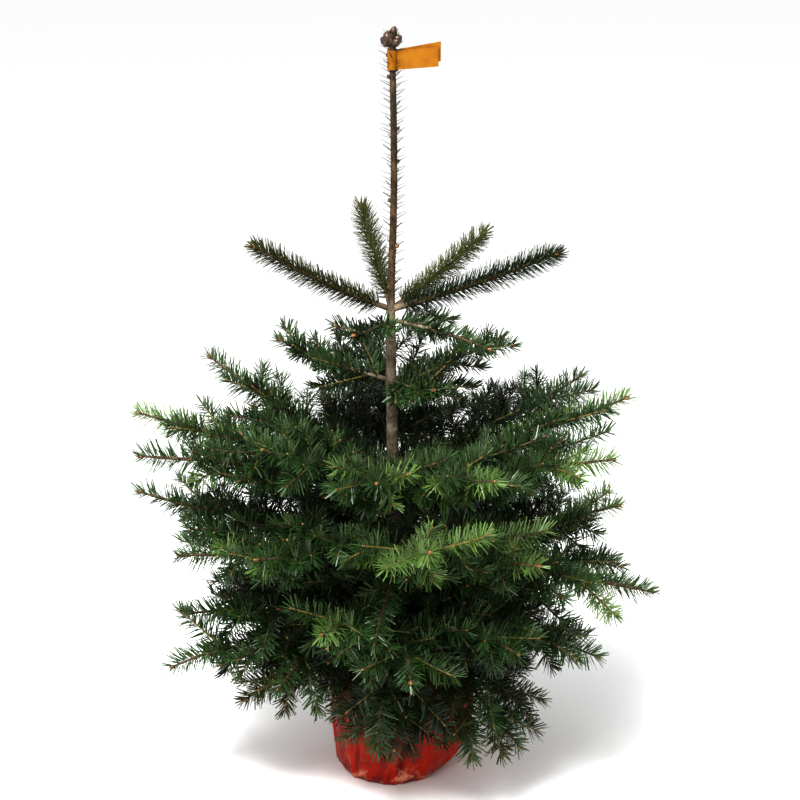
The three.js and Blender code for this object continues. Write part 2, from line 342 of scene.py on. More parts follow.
def outward(angle):
    """The level direction at an angle round the trunk."""
    return Vector((math.cos(angle), math.sin(angle), 0))


def angle_between(angle, other):
    """From one angle to the other, the short way round."""
    return (angle - other + math.pi) % TURN - math.pi


def triangles(made):
    made.data.calc_loop_triangles()
    return len(made.data.loop_triangles)


print("pieces can be made, stored to and counted")


# %% Rings
def skin(points, faces, rings):
    """Adds rings of equal size to points and faces, with a fan of faces over each end."""
    size, first = len(rings[0]), len(points)
    for ring in rings:
        points.extend(ring)
    for r in range(len(rings) - 1):
        low, high = first + r * size, first + (r + 1) * size
        for k in range(size):
            after = (k + 1) % size
            faces.append((low + k, low + after, high + after, high + k))
    for ring, start, turn in ((rings[0], first, -1), (rings[-1], first + (len(rings) - 1) * size, 1)):
        points.append(sum((Vector(p) for p in ring), Vector()) / size)
        middle = len(points) - 1
        for k in range(size):
            pair = (start + k, start + (k + 1) % size)[::turn]
            faces.append((*pair, middle))


def tube(path, radii, sides, relief=None):
    """Rings round a path. relief(point, angle, index) gives an extra radius."""
    rings = []
    for i, at in enumerate(path):
        ahead = (path[min(i + 1, len(path) - 1)] - path[max(i - 1, 0)]).normalized()
        if i == 0:
            side = ahead.cross(Vector((0.3, 0.9, 0.1))).normalized()  # any direction across will do
        side = (side - ahead * side.dot(ahead)).normalized()
        other = ahead.cross(side)
        ring = []
        for k in range(sides):
            angle = TURN * k / sides
            out = side * math.cos(angle) + other * math.sin(angle)
            extra = relief(at + out * radii[i], angle, i) if relief else 0.0
            ring.append(at + out * (radii[i] + extra))
        rings.append(ring)
    return rings


def skinned(name, rings, material, smooth=True):
    points, faces = [], []
    skin(points, faces, rings)
    return piece(name, points, faces, material, smooth)


print("ring helpers are ready")

# %% [markdown]
# ## The trunk
#
# The frame's trunk is a stack of rings, so its line and its thickness are read from it: the rings'
# middles and radii, at every height. A plain cylinder with a bump map would show a smooth edge, so
# the bark is a mesh with a ring every two millimetres, and has what a cylinder lacks: collars where
# a whorl of boughs leaves, ridges, resin blisters, and the pegs that the leader's needles stand on.

# %% The trunk's line, read from the frame
WHORL_HEIGHTS = {
    "top": 0.762,
    "crest": 0.745,
    "inner": 0.648,
    "upper": 0.508,
    "middle": 0.380,
    "lower": 0.290,
    "skirt": 0.236,
}
LEADER_FOOT = WHORL_HEIGHTS["top"]


def read_rings(node, gap=8 * MM):
    """The middles and radii of a node's rings of points, from the bottom up."""
    points = sorted((v.co.copy() for v in NODES[node].data.vertices), key=lambda p: p.z)
    rings = [[points[0]]]
    for before, point in zip(points, points[1:]):
        if point.z - before.z > gap:
            rings.append([])
        rings[-1].append(point)
    middles = [sum(ring, Vector()) / len(ring) for ring in rings]
    radii = [max((p - m).to_2d().length for p in ring) for ring, m in zip(rings, middles)]
    return middles, radii


trunk_middles, trunk_radii = read_rings("trunk")
trunk_low, trunk_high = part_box("trunk")
ring_heights = [m.z for m in trunk_middles]


def trunk_at(height):
    """The middle of the trunk at a height."""
    x = np.interp(height, ring_heights, [m.x for m in trunk_middles])
    y = np.interp(height, ring_heights, [m.y for m in trunk_middles])
    return Vector((float(x), float(y), height))


def trunk_radius(height):
    return float(np.interp(height, ring_heights, trunk_radii))


print("trunk:", len(ring_heights), "rings from", round(trunk_low.z, 3), "to", round(trunk_high.z, 3))

# %% The barked trunk
TRUNK_SIDES = 28
TRUNK_STEP = 2 * MM
BARE_WOOD = 0.97  # the wood's share of the solid's radius; the relief stands on it
COLLAR = 9 * MM  # a whorl's collar fades over this height
COLLAR_SWELL = 0.16
BLISTERS = 150
BUD_KNOB = 22 * MM  # the leader's own wood ends this far under its buds' tips
TAPER_STOPS = 30 * MM  # and keeps one thickness this far under its end,
KNOB_SWELL = 1.5 * MM  # where it swells a little under the buds
draw = random.Random(11)
blisters = [
    (draw.uniform(trunk_low.z, LEADER_FOOT), draw.uniform(0, TURN), draw.uniform(1.6, 3.6) * MM)
    for _ in range(BLISTERS)
]
leader_top = trunk_high.z - BUD_KNOB
collars = [height for whorl, height in WHORL_HEIGHTS.items() if whorl != "crest"]
heights = np.arange(trunk_low.z, leader_top, TRUNK_STEP)
wood_radius = []
for z in heights:
    base = trunk_radius(min(float(z), leader_top - TAPER_STOPS)) * BARE_WOOD
    swell = sum(math.exp(-(((z - height) / COLLAR) ** 2)) for height in collars)
    near_top = math.exp(-(((z - leader_top) / (12 * MM)) ** 2)) * KNOB_SWELL
    wood_radius.append(base * (1 + COLLAR_SWELL * swell) + near_top)


def trunk_relief(point, angle, index):
    """Ridged bark with blisters, and above the whorls the pegs of the leader's needles."""
    z = point.z
    ridge = noise.noise(Vector((point.x * 260, point.y * 260, z * 60))) * 0.45 * MM
    if z > LEADER_FOOT:
        peg = noise.noise(point * 420)
        return ridge * 0.6 + max(0.0, peg - 0.15) * 1.2 * MM
    rough = noise.fractal(point * 160, 1.0, 2.0, 4) * 0.5 * MM
    bump = 0.0
    for height, turn, size in blisters:
        if abs(z - height) < 2.2 * size:
            round_way = angle_between(angle, turn) * wood_radius[index]
            away = (z - height) ** 2 + (round_way * 0.6) ** 2
            bump += 0.25 * size * math.exp(-away / (size * size) * 1.6)
    return rough + ridge + bump


trunk_path = [trunk_at(float(z)) for z in heights]
trunk_path[0].z = trunk_low.z
trunk_bark = skinned("trunk_bark", tube(trunk_path, wood_radius, TRUNK_SIDES, trunk_relief), BARK)
print("trunk_bark:", triangles(trunk_bark), "triangles")

# %% [markdown]
# ## How a spray grows
#
# Each year the bud at a shoot's tip makes one new length of wood, and a pair of buds beside it makes
# side shoots at about fifty degrees, in the plane of the bough. So a bough is a row of yearly
# lengths, with a pair of side shoots at each join, one that stands up and one that hangs, smaller
# shoots between the joins, and the same again on each side shoot until it is one year old. A pair's
# shoot that finds no room tries again, a little further from its place.
#
# Two things end a side shoot early. The frame's solids say how far the crown reaches: a shoot stops
# inside them at the crown's edge, and may leave them by a little deeper inside, where the sprays
# grow into each other. And shoots shade each other: none grows on where another already stands. A
# grid of small cells remembers where wood is, so that question is quick.

# %% The crown's solids and the shoots' sizes
SHOOT_STEP = 10 * MM
NEEDLE_REACH = 13 * MM  # a shoot ends this far inside the solids, and its needles reach past it
SMALLEST = 40 * MM
TIP_RADIUS = 1.1 * MM
CLEAR = 21 * MM  # shoots keep this far apart
FIRST_LOOK = 16 * MM  # a shoot looks for room from here on,
LOOK_STEP = 6 * MM  # in steps of this length,
SHADE_FROM = 30 * MM  # and for shade only this far from its foot
EDGE_SLACK = 8 * MM  # shoots may leave the solids by this much
INSIDE_SLACK = 26 * MM  # and by this much more near the trunk,
INSIDE = 160 * MM  # which means within this distance, and less towards the top
FULL_BELOW = 0.72  # the height under which the crown is full to the trunk
BARE_ABOVE = 0.54  # the height over which the trunk's front shows
BARE_HALF = 45 * MM  # half the width of that bare front
YEARS = {"top": 1, "crest": 2, "inner": 2, "upper": 4, "middle": 4, "lower": 4, "skirt": 4}
YEAR_SHARES = (0.27, 0.24, 0.2)  # each yearly length as a share of the bough, the newest first
BOUGH_BASE = 0.02  # a bough's radius at the trunk as a share of its reach
STANDING = (0.7, -0.7)  # how steeply the shoots above and below a bough's plane leave it
FLAT = "crest"  # the weak sprays under the top have none
JOIN_TRIES = (0.25, 0.5, 0.7)  # how far a pair's shoot strays from its place, try after try
FAR_POINTS = 6  # a solid's far end is the middle of this many points
FORKS = 3  # side shoots of side shoots end with the third kind

sprays = sorted(name for name in NODES if "_spray_" in name)
corners_of, tree_of = {}, {}


def solid_of(node):
    mesh = NODES[node].data
    mesh.calc_loop_triangles()
    corners = [v.co.copy() for v in mesh.vertices]
    return corners, [tuple(t.vertices) for t in mesh.loop_triangles]


all_corners, all_faces = [], []
for spray in sprays:
    corners, faces = solid_of(spray)
    corners_of[spray] = corners
    tree_of[spray] = BVHTree.FromPolygons(corners, faces)
    all_faces += [tuple(i + len(all_corners) for i in face) for face in faces]
    all_corners += corners
CROWN = BVHTree.FromPolygons(all_corners, all_faces)


def out_of_crown(point):
    """How far a point lies outside the crown's solids; below zero inside."""
    place, normal, _, distance = CROWN.find_nearest(point)
    return distance if (point - place).dot(normal) > 0 else -distance


print("the crown:", len(sprays), "solids,", len(all_faces), "faces")

# %% Shade and room
wood_cells = {}


def cell(point):
    return tuple(int(c // CLEAR) for c in point)


def remember(path, number):
    for point in path:
        wood_cells.setdefault(cell(point), []).append((point, number))


def crowded(point, parent):
    """Whether wood of another shoot than the parent stands too near."""
    x, y, z = cell(point)
    for i in (x - 1, x, x + 1):
        for j in (y - 1, y, y + 1):
            for k in (z - 1, z, z + 1):
                for other, number in wood_cells.get((i, j, k), ()):
                    if number != parent and (other - point).length < CLEAR:
                        return True
    return False


def slack_at(point):
    """How far out of the solids a shoot may be: more inside the crown, but not before bare trunk."""
    away = (point - trunk_at(point.z)).to_2d()
    bare = point.z > BARE_ABOVE and away.y < 0 and abs(away.x) < BARE_HALF
    if bare or point.z > FULL_BELOW:
        return EDGE_SLACK
    near = INSIDE * min(1.0, 0.4 + (FULL_BELOW - point.z) * 4)
    return EDGE_SLACK + INSIDE_SLACK * min(1.0, max(0.0, 2 - away.length / near))


def room(start, way, most, parent):
    """How far a shoot may grow from start, at most this far, before skin or shade ends it."""
    distance = FIRST_LOOK
    while distance < most:
        point = start + way * distance
        if out_of_crown(point) > slack_at(point):
            return distance - NEEDLE_REACH
        if distance > SHADE_FROM and crowded(point, parent):
            return distance - CLEAR * 0.3
        distance += LOOK_STEP
    return most


print("a shoot may leave the solids by", slack_at(Vector((0.1, 0, 0.3))), "m inside the crown")

# %% A shoot's line
grow = random.Random(2024)
shoots = []


def lengths(path):
    return [0.0] + list(np.cumsum([(b - a).length for a, b in zip(path, path[1:])]))


def at_distance(path, run, distance):
    """The point and direction at a distance along a path."""
    i = int(np.searchsorted(run, distance, side="right")) - 1
    i = min(max(i, 0), len(path) - 2)
    span = (path[i + 1] - path[i]).normalized()
    return path[i] + span * (distance - run[i]), span


def add_shoot(path, over, base, order, years, spray, tip=TIP_RADIUS):
    """over is the shoot's upper side, base and tip are its radii, order counts forks from 0."""
    shoot = {"path": path, "over": over, "base": base, "tip": tip, "order": order}
    shoot.update(years=years, spray=spray, number=len(shoots))
    remember(path, len(shoots))
    shoots.append(shoot)


def bent_path(start, direction, length, over, lift):
    """A shoot's line: nearly straight, wavering a little, its tip turning up by lift."""
    steps = max(2, int(length / SHOOT_STEP))
    side = direction.cross(over).normalized()
    waver = side * grow.uniform(-1.4, 1.4) + over * (lift + grow.uniform(-0.8, 0.8))
    path, heading = [start], direction.normalized()
    for _ in range(steps):
        heading = (heading + waver * (length / steps)).normalized()
        path.append(path[-1] + heading * (length / steps))
    return path


print("shoots can be laid")


# %% The rule of side shoots
def branch(parent, run, distance, turn, share, age, rise):
    """One side shoot, if there is room for it. Returns whether it grew."""
    start, ahead = at_distance(parent["path"], run, distance)
    over = parent["over"]
    side = ahead.cross(over).normalized()
    angle = math.radians(grow.uniform(36, 54))
    lift = rise + grow.uniform(-0.1, 0.14)
    way = (ahead * math.cos(angle) + side * (turn * math.sin(angle)) + over * lift).normalized()
    most = ((run[-1] - distance) * 0.9 + 26 * MM) * share
    reach = room(start, way, most, parent["number"])
    if reach < SMALLEST:
        return False
    plane = (over + side * (turn * grow.uniform(-0.3, 0.15))).normalized()
    plane = (plane - way * plane.dot(way)).normalized()
    path = bent_path(start, way, reach, plane, 0.5)
    thick = max(TIP_RADIUS * 1.1, parent["base"] * 0.5 * (1 - 0.6 * distance / run[-1]))
    thick = min(thick, TIP_RADIUS + reach * 0.014)
    add_shoot(path, plane, thick, parent["order"] + 1, age, parent["spray"])
    return True


def branch_out(parent, joins):
    """All side shoots of one shoot, from the distances of its yearly joins, the newest first."""
    run = lengths(parent["path"])
    for age, join in enumerate(joins, start=1):
        for turn in (-1, 1):
            for spread in JOIN_TRIES:
                rise = grow.uniform(-spread, spread) + 0.08
                at = join + grow.uniform(-20, 20) * spread * MM
                if branch(parent, run, at, turn, grow.uniform(0.85, 1.0), age, rise):
                    break
        for rise in () if parent["spray"].startswith(FLAT) else STANDING:
            turn = grow.choice((-0.5, 0.5))
            at = join - grow.uniform(-12, 20) * MM
            branch(parent, run, at, turn, grow.uniform(0.7, 1.0), age, rise)
    stops = [*joins, 0.0]
    for age, (outer, inner) in enumerate(zip(stops, stops[1:]), start=2):
        distance = outer - grow.uniform(14, 24) * MM
        turn = grow.choice((-1, 1))
        while distance > inner + 10 * MM:
            rise = grow.choice((0, 0.2, 0.5, -0.4)) if parent["order"] == 0 else grow.choice((0, 0, 0.3))
            branch(parent, run, distance, turn, grow.uniform(0.5, 0.95), max(1, age - 1), rise)
            distance -= grow.uniform(9, 17) * MM
            turn = -turn


print("the rule is written; nothing has grown yet")

# %% [markdown]
# ## Each spray's main line
#
# A spray's solid tells where its bough runs: from the trunk at the whorl's height to the solid's far
# end. Upright rays through the solid, at a few places along that line, find the middle of its
# thickness, which is the bough's sag. All main lines grow first, then all their side shoots, then
# the side shoots' own, so that the stronger wood has the first claim on the light.


# %% Growing all sprays
def main_line(spray, start):
    """Points from the trunk to the spray's tip, through the middle of its solid."""
    distinct = {tuple(round(c, 5) for c in p): p for p in corners_of[spray]}
    far = sorted(distinct.values(), key=lambda p: -(p - start).length)[:FAR_POINTS]
    tip = sum(far, Vector()) / len(far)
    line = [start]
    for share in (0.25, 0.45, 0.65, 0.82):
        at = start.lerp(tip, share)
        above = tree_of[spray].ray_cast(at + UP * 0.2, -UP)[0]
        below = tree_of[spray].ray_cast(at - UP * 0.2, UP)[0]
        if above and below:
            at.z = (above.z + below.z) / 2
        line.append(at)
    line.append(tip - (tip - start).normalized() * NEEDLE_REACH)
    return line


def smooth_line(line, step=SHOOT_STEP):
    """A Catmull-Rom curve through the points of a line."""
    ends = [line[0] * 2 - line[1], *line, line[-1] * 2 - line[-2]]
    path = []
    for a, b, c, d in zip(ends, ends[1:], ends[2:], ends[3:]):
        count = max(1, round((c - b).length / step))
        for t in (k / count for k in range(count)):
            bend = (c - a) * t + (2 * a - 5 * b + 4 * c - d) * t**2 + (3 * b - a - 3 * c + d) * t**3
            path.append(b + bend / 2)
    path.append(line[-1])
    return path


def year_joins(shoot):
    """Where the yearly lengths of a shoot join, the newest first."""
    total = left = lengths(shoot["path"])[-1]
    joins = []
    for share in YEAR_SHARES[: shoot["years"] - 1]:
        scale = 1.0 if shoot["order"] == 0 else 1.8
        left -= total * share * scale * grow.uniform(0.88, 1.12)
        if left > 25 * MM:
            joins.append(left)
    return joins


for spray in sprays:
    whorl = spray.split("_")[0]
    line = main_line(spray, trunk_at(WHORL_HEIGHTS[whorl]))
    ahead = (line[-1] - line[0]).normalized()
    over = (UP - ahead * UP.dot(ahead)).normalized()
    path = smooth_line(line)
    add_shoot(path, over, lengths(path)[-1] * BOUGH_BASE, 0, YEARS[whorl], spray, 1.5 * MM)

grown_from = 0
for _ in range(FORKS):
    parents = shoots[grown_from:]
    grown_from = len(shoots)
    for parent in parents:
        joins = year_joins(parent)
        if joins:
            branch_out(parent, joins)

wood_length = round(sum(lengths(s["path"])[-1] for s in shoots), 1)
print(len(shoots), "shoots,", wood_length, "m,", [sum(s["order"] == k for s in shoots) for k in range(4)])

# %% [markdown]
# ## Boughs and twigs
#
# Boughs are thick enough to show relief, so they are tubes with bumps, from inside the trunk to
# their tips, with bark on the inner half and a shoot's skin beyond. The side shoots are thin:
# five-sided tubes are round enough at a millimetre or two. New wood and old wood are separate
# pieces because their skins differ.


# %% Boughs and twigs
BOUGH_SIDES = 10
TWIG_SIDES = 5
TAPER = 0.9  # 1 is a cone; less keeps a shoot thick for longer
BARKED = 0.5  # the share of a bough that has bark; the rest has a shoot's skin


def tapered(shoot):
    run = lengths(shoot["path"])
    return [shoot["tip"] + (shoot["base"] - shoot["tip"]) * (1 - d / run[-1]) ** TAPER for d in run]


def bough_relief(point, angle, index):
    return noise.noise(point * 300) * 0.35 * MM + noise.noise(point * 90) * 0.3 * MM


boughs = [s for s in shoots if s["order"] == 0]
twigs = [s for s in shoots if s["order"] > 0]
points, faces, kinds = [], [], []
for bough in boughs:
    rings = tube(bough["path"], tapered(bough), BOUGH_SIDES, bough_relief)
    skin(points, faces, rings)
    young = [int(ring > BARKED * len(rings)) for ring in range(1, len(rings))]
    for kind in (*young, 0, 1):  # the last two are the ends' fans
        kinds += [kind] * BOUGH_SIDES
bough_bark = piece("bough_bark", points, faces, BARK)
bough_bark.data.materials.append(OLD_SHOOT)
bough_bark.data.polygons.foreach_set("material_index", kinds)

wood_pieces = []
for name, chosen, material in (
    ("old_twigs", [s for s in twigs if s["years"] > 1], OLD_SHOOT),
    ("new_twigs", [s for s in twigs if s["years"] <= 1], NEW_SHOOT),
):
    points, faces = [], []
    for twig in chosen:
        skin(points, faces, tube(twig["path"], tapered(twig), TWIG_SIDES))
    wood_pieces.append(piece(name, points, faces, material))
print("bough_bark:", triangles(bough_bark), "and", [(w.name, triangles(w)) for w in wood_pieces])

# %% [markdown]
# ## The needle
#
# A fir needle is a flat strap with a narrow foot, parallel sides and a blunt tip, keeled below. Six
# points and eight faces keep that outline: the foot, the strap's two sides and its keel near the
# foot, and the blunt end. Two are made, one straight and one bent sideways, and the brush below
# picks between them. The faces below carry a mark for the pale underside.


# %% Needle shapes
# The outline is one unit long and one unit wide; the brush scales both.
FOOT = 0.26  # the foot widens into the strap here
STRAP, BLUNT = 0.5, 0.3  # half the width of the strap, and of the end
KEEL = 0.34


def shape_only(made):
    """Keeps a shape that a geometry tree repeats out of the picture itself."""
    made.hide_render = True
    return made


def needle_shape(name, bend, lift):
    """A needle that strays sideways by bend and up by lift, both in widths, at its end."""
    side, rise = bend * FOOT * FOOT, lift * FOOT * FOOT
    points = [(0, 0, 0), (FOOT, side + STRAP, rise), (FOOT, side - STRAP, rise)]
    points += [(FOOT, side, rise - KEEL), (1, bend + BLUNT, lift), (1, bend - BLUNT, lift)]
    top = [(0, 2, 1), (1, 2, 5, 4)]
    under = [(0, 3, 2), (0, 1, 3), (1, 4, 3), (3, 5, 2), (3, 4, 5)]
    made = piece(name, points, top + under, NEEDLE_FINISHES[MID][0], smooth=False)
    store(made.data, "underside", [False] * len(top) + [True] * len(under), "BOOLEAN", "FACE")
    return shape_only(made)


STRAIGHT = needle_shape("needle_straight", 0.0, 1.0)
BENT = needle_shape("needle_bent", 1.2, 0.5)
print("needle:", triangles(STRAIGHT), "triangles")

# %% [markdown]
# ## The brush of needles
#
# Needles repeat along every shoot by a rule, which is what Geometry Nodes are for. The shoots come
# in as a mesh of edges. Its points carry what the rule reads: `over`, the upper side of the shoot,
# `reach`, the needles' length, `fan`, 0 where they are combed flat and 1 where they stand all
# round, `lean`, how far they stand away from the shoot's own direction, `wide` and `apart`, which
# scale their width and their spacing, and `tint`. The tree turns the edges into curves, puts a
# point every `Spacing`, gives each point a needle, and aims it.
#
# On a combed shoot a needle leaves to the left or the right, most of them nearly level, some
# standing up. On a radial one they follow the golden angle round the shoot.


# %% Geometry Nodes: what both trees need
def new_tree(name, inputs):
    tree = bpy.data.node_groups.new(name, "GeometryNodeTree")
    tree.interface.new_socket(name="Geometry", in_out="OUTPUT", socket_type="NodeSocketGeometry")
    for label, kind in {"Geometry": "Geometry", **inputs}.items():
        tree.interface.new_socket(name=label, in_out="INPUT", socket_type="NodeSocket" + kind)
    graph = Graph(tree)
    return tree, graph, graph.node("NodeGroupInput")


def stored(graph, name, kind="FLOAT"):
    return graph.node("GeometryNodeInputNamedAttribute", {"data_type": kind}, {"Name": name})["Attribute"]


def chance(graph, seed, low=0.0, high=1.0):
    sockets = {2: low, 3: high, "Seed": seed}
    return graph.node("FunctionNodeRandomValue", {"data_type": "FLOAT"}, sockets)[1]


def shape_of(graph, given):
    sockets = {"Object": given, "As Instance": True}
    return graph.node("GeometryNodeObjectInfo", None, sockets)["Geometry"]


def set_out(graph, points, shape, aim, long, wide, **picked):
    """The shape on every point, its length along aim[0] and its face to aim[1], as real mesh."""
    axes = {"primary_axis": "X", "secondary_axis": "Z"}
    sockets = {"Points": points, "Instance": shape, **picked}
    sockets["Rotation"] = graph.node("FunctionNodeAxesToRotation", axes, aim)["Rotation"]
    sockets["Scale"] = graph.node("ShaderNodeCombineXYZ", None, {0: long, 1: wide, 2: wide})["Vector"]
    placed = graph.node("GeometryNodeInstanceOnPoints", None, sockets)["Instances"]
    return graph.node("GeometryNodeRealizeInstances", None, {"Geometry": placed})["Geometry"]


def coat(graph, body, material, **where):
    sockets = {"Geometry": body, "Material": material, **where}
    return graph.node("GeometryNodeSetMaterial", None, sockets)["Geometry"]


def grown(name, mesh, tree, values):
    """Runs a tree on a carrier mesh and returns the result as a plain mesh object."""
    carrier = show(name + "_carrier", mesh)
    modifier = carrier.modifiers.new("Grow", "NODES")
    modifier.node_group = tree
    for item in tree.interface.items_tree:
        if item.in_out == "INPUT" and item.name in values:
            modifier[item.identifier] = values[item.name]
    evaluated = carrier.evaluated_get(bpy.context.evaluated_depsgraph_get())
    result = bpy.data.meshes.new_from_object(evaluated)
    result.name = name
    bpy.data.objects.remove(carrier)
    return show(name, result)


print("the trees' helpers are ready")


# %% Geometry Nodes: the brush
GOLDEN_ANGLE = 2.39996
LEVEL_BIAS = 1.9  # over 1, most combed needles lie low
RISE, DIP = 1.7, 0.34  # radians from the lowest needle to the highest, and the lowest below level
CLOSED_UP = 0.28  # a standing needle leans forward by this much for each radian that it stands


def combine(graph, terms):
    """The sum of vectors, each times a number."""
    total = None
    for vector, amount in terms:
        part = graph.vector("SCALE", vector, Scale=amount)
        total = part if total is None else graph.vector("ADD", total, part)
    return total


def brush_tree():
    inputs = {"Spacing": "Float", "Width": "Float", "Seed": "Int", "Straight": "Object", "Bent": "Object"}
    for tint in TINTS:
        inputs[f"Top {tint}"] = inputs[f"Under {tint}"] = "Material"
    tree, graph, given = new_tree("Needle brush", inputs)
    seed = given["Seed"]
    curve = graph.node("GeometryNodeMeshToCurve", None, {"Mesh": given["Geometry"]})["Curve"]
    even = {"Curve": curve, "Length": given["Spacing"] * stored(graph, "apart")}
    curve = graph.node("GeometryNodeResampleCurve", {"mode": "LENGTH"}, even)["Curve"]

    ahead = graph.node("GeometryNodeInputTangent")["Tangent"]
    over = stored(graph, "over", "FLOAT_VECTOR")
    side = graph.vector("NORMALIZE", graph.vector("CROSS_PRODUCT", ahead, over))
    over = graph.vector("CROSS_PRODUCT", side, ahead)
    index = graph.node("GeometryNodeInputIndex")["Index"]

    fan, lean = stored(graph, "fan"), stored(graph, "lean")
    high = chance(graph, seed + 1).math("POWER", LEVEL_BIAS)
    height = high * RISE - DIP + chance(graph, seed + 2, -0.08, 0.08)
    turn = graph.math("MODULO", index, 2.0)
    combed = turn * math.pi + height * (1 - turn * 2)
    golden = index * GOLDEN_ANGLE + chance(graph, seed + 3, -0.3, 0.3)
    angle = combed * (1 - fan) + golden * fan
    standing = height.math("MAXIMUM", 0.0) * (1 - fan)
    open_angle = lean - standing * CLOSED_UP + chance(graph, seed + 4, -0.06, 0.06)

    out = combine(graph, [(side, angle.math("COSINE")), (over, angle.math("SINE"))])
    aim = combine(graph, [(ahead, open_angle.math("COSINE")), (out, open_angle.math("SINE"))])
    roll = (side, chance(graph, seed + 5, -0.35, 0.35))
    face = combine(graph, [(over, 1 - fan), (ahead, fan * 0.9 + 0.25), roll])
    length = stored(graph, "reach") * (1 - standing * 0.3) * chance(graph, seed + 6, 0.88, 1.1)
    width = given["Width"] * stored(graph, "wide") * chance(graph, seed + 7, 0.85, 1.15)

    shapes = graph.node("GeometryNodeJoinGeometry")
    for key in ("Straight", "Bent"):
        tree.links.new(shape_of(graph, given[key]).socket, shapes.made.inputs[0])
    either = {4: 0, 5: 1, "Seed": seed + 8}
    which = graph.node("FunctionNodeRandomValue", {"data_type": "INT"}, either)[2]
    picked = {"Pick Instance": True, "Instance Index": which}
    body = set_out(graph, curve, shapes["Geometry"], {0: aim, 1: face}, length, width, **picked)
    under = stored(graph, "underside", "BOOLEAN")
    tint = stored(graph, "tint", "INT")
    for number, name in enumerate(TINTS):
        equal = {"data_type": "INT", "operation": "EQUAL"}
        same = graph.node("FunctionNodeCompare", equal, {2: tint, 3: number})[0]
        below = graph.node("FunctionNodeBooleanMath", {"operation": "AND"}, {0: same, 1: under})[0]
        body = coat(graph, body, given[f"Top {name}"], Selection=same)
        body = coat(graph, body, given[f"Under {name}"], Selection=below)
    graph.node("NodeGroupOutput", None, {0: body})
    return tree


BRUSH = brush_tree()
print("brush tree:", len(BRUSH.nodes), "nodes")

# %% [markdown]
# ## Which shoot gets which needles
#
# Young shoots at the crown's edge are fresh green, and inside the needles are older and darker. On the
# upper, middle and lower whorls the tint also paints light and shade: shoots further out and towards the
# front get lighter tints as painted light, and the lower whorl gets darker ones as painted shade. Over
# the pot the needles turn olive. Towards a shoot's end they lean forward and close round the bud. The top
# shoots carry shorter needles, close together, that stand all round. Inside the crown, where few are seen
# one by one, they are fewer and wider.

# %% Tints and numbers of the needles
SPACING = 0.7 * MM
THINNED = 1
NEEDLE_WIDTH = 2.0 * MM
TOP_SHARE = 0.38  # the top shoots' needles stand this much closer
MOST_NEEDLES = 23500  # a piece of eight-sided needles stays under 200,000 triangles
NUMBERS = ("reach", "fan", "lean", "wide", "apart", "tint")  # what a carrier's point says
REACH = {"top": 27 * MM, "crest": 24 * MM, "inner": 25 * MM}
FULL_REACH = 28.5 * MM  # the needles' length on all other shoots
FAN = {"top": 0.7, "crest": 0.3, "inner": 0.2}
TIP_NEEDLES = 22 * MM  # needles close round the bud over this length
BARE_FOOT = 12 * MM  # and a bough has none this near the trunk's middle
CROWN_REACH = max(abs(CAD_BOX[0][0]), abs(CAD_BOX[1][0]))
paint = random.Random(8)
PLAIN_TINTS = {  # where the tint doesn't depend on the light
    "top": (OLIVE, DEEP),
    "crest": (MID, DEEP),
    "inner": (MID, MID, DEEP),
    "skirt": (OLIVE, OLIVE, MID, DEEP),
}


def outwardness(shoot):
    """0 at the trunk, 1 at the crown's widest."""
    tip = shoot["path"][-1]
    return (tip - trunk_at(tip.z)).to_2d().length / CROWN_REACH


def shoot_tint(shoot):
    whorl = shoot["spray"].split("_")[0]
    tip = shoot["path"][-1]
    # painted light and shade in part: shoots further out and towards the front (-Y) get lighter tints as
    # the lamps light them, the lower whorl darker ones as painted shade; further out the needles are also
    # really younger
    light = 0.8 * outwardness(shoot) - 0.4 * tip.y / CROWN_REACH + paint.uniform(-0.2, 0.2)
    if whorl in PLAIN_TINTS:
        return paint.choice(PLAIN_TINTS[whorl])
    if whorl == "lower":
        light -= 0.22
    return FRESH_AND_LIT if light > 0.74 else MID if light > 0.3 else DEEP


print("the crown reaches", round(CROWN_REACH, 3), "m from the trunk")


# %% From shoots to a brush
def add_point(rows, point, over, *numbers):
    rows["co"].append(point)
    rows["over"].extend(over)
    for key, number in zip(NUMBERS, numbers):
        rows[key].append(number)


def needle_points(shoot, rows):
    """Adds one shoot's points to the rows of a brush's carrier mesh."""
    whorl = shoot["spray"].split("_")[0]
    tint = shoot_tint(shoot)
    reach = REACH.get(whorl, FULL_REACH) * paint.uniform(0.94, 1.06)
    reach *= 1.0 if shoot["order"] < 2 else 0.92
    fan = FAN.get(whorl, paint.uniform(0.0, 0.15))
    outer = 1.0 if whorl in ("top", "skirt") else min(1.0, outwardness(shoot) * 1.25)
    wide, apart = 1.55 - 0.55 * outer, 1.5 - 0.65 * outer
    if whorl == "top":
        apart = TOP_SHARE
    run = lengths(shoot["path"])
    for point, distance in zip(shoot["path"], run):
        if shoot["order"] == 0 and (point - trunk_at(point.z)).to_2d().length < BARE_FOOT:
            continue
        near_tip = max(0.0, 1 - (run[-1] - distance) / TIP_NEEDLES)
        here = reach * (1 - 0.25 * near_tip)
        round_way = fan + (1 - fan) * near_tip * 0.6
        lean = 1.16 - 0.5 * near_tip
        add_point(rows, point, shoot["over"], here, round_way, lean, wide, apart, tint)


